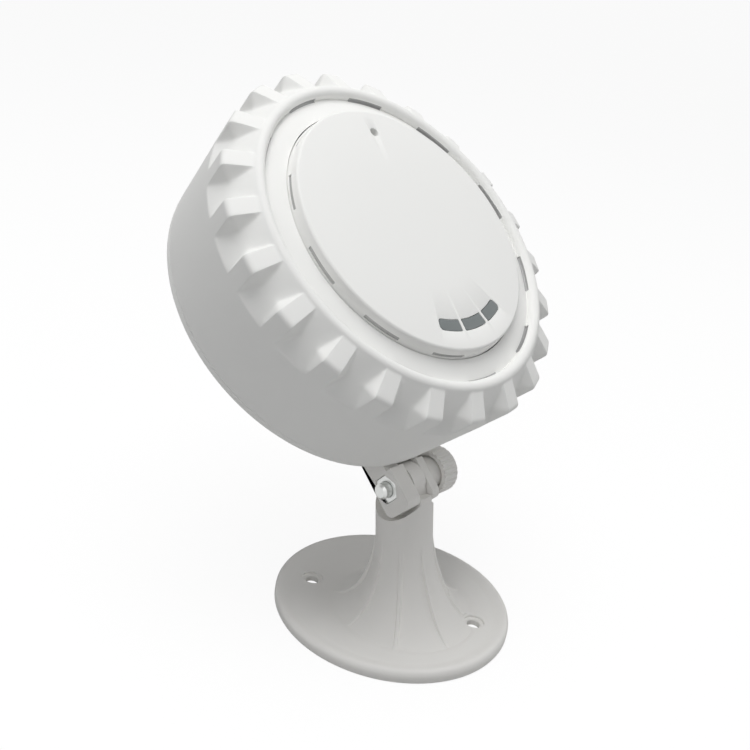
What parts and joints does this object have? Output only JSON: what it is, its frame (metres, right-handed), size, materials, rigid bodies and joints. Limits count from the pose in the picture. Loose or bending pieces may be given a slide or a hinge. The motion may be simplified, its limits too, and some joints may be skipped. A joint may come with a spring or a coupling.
{
  "type": "swivel-mount room air sensor",
  "caption": "Round toothed-rim sensor head with vented cap and status windows, on a fork clamped to a trumpet-footed round mounting plate.",
  "frame": {"origin": "centre of the round plate, on its mounting face", "axes": "+Z square to the mounting face and away from it, -Y the way the head faces, +X towards the clamp knob"},
  "size_m": [0.1222, 0.1309, 0.1588],
  "materials": {
    "housing_plastic": "fine satin moulded ABS, cool white",
    "bracket_plastic": "satin moulded ABS, slightly warmer white",
    "zinc_steel": "bright zinc plate",
    "black_rubber": "matt",
    "grey_rubber": "matt",
    "smoked_window": "smoked translucent, gloss",
    "green_board": "solder mask on glass laminate",
    "led_package": "clear encapsulated",
    "clear_guide": "clear moulded acrylic",
    "black_plastic": "moulded",
    "white_plastic": "moulded",
    "green_plastic": "moulded",
    "sensor_steel": "drawn can",
    "capacitor_sleeve": "shrink sleeve",
    "steel_mesh": "woven wire cloth"
  },
  "bodies": {
    "bracket": {"bracket_base": "bracket_plastic"},
    "head": {"swivel_arm": "bracket_plastic", "arm_screws": "zinc_steel", "clamp_washer": "zinc_steel", "clamp_nut": "zinc_steel", "housing_shell": "housing_plastic", "front_cap": "housing_plastic", "back_cover": "housing_plastic", "cover_seal": "black_rubber", "cover_screws": "zinc_steel", "cable_grommet": "grey_rubber", "status_window_left": "smoked_window", "status_window_centre": "smoked_window", "status_window_right": "smoked_window", "main_board": "green_board", "board_screws": "zinc_steel", "status_leds": "led_package", "light_guide": "clear_guide", "light_sensor": "black_plastic", "gas_sensor": "sensor_steel", "climate_sensor": "white_plastic", "buzzer": "black_plastic", "terminal_block": "green_plastic", "capacitors": "capacitor_sleeve", "board_chips": "black_plastic", "cap_mesh": "steel_mesh", "floor_mesh": "steel_mesh"},
    "clamp": {"clamp_bolt": "zinc_steel", "clamp_knob": "bracket_plastic"}
  },
  "joints": [
    {"name": "head_tilt", "type": "hinge", "parent": "bracket", "child": "head", "pos_m": [0, 0.00434, 0.04514], "axis": [1, 0, 0], "range_deg": [-12, 70]},
    {"name": "clamp_turn", "type": "hinge", "parent": "head", "child": "clamp", "pos_m": [0, 0.00434, 0.04514], "axis": [1, 0, 0], "continuous": true}
  ]
}
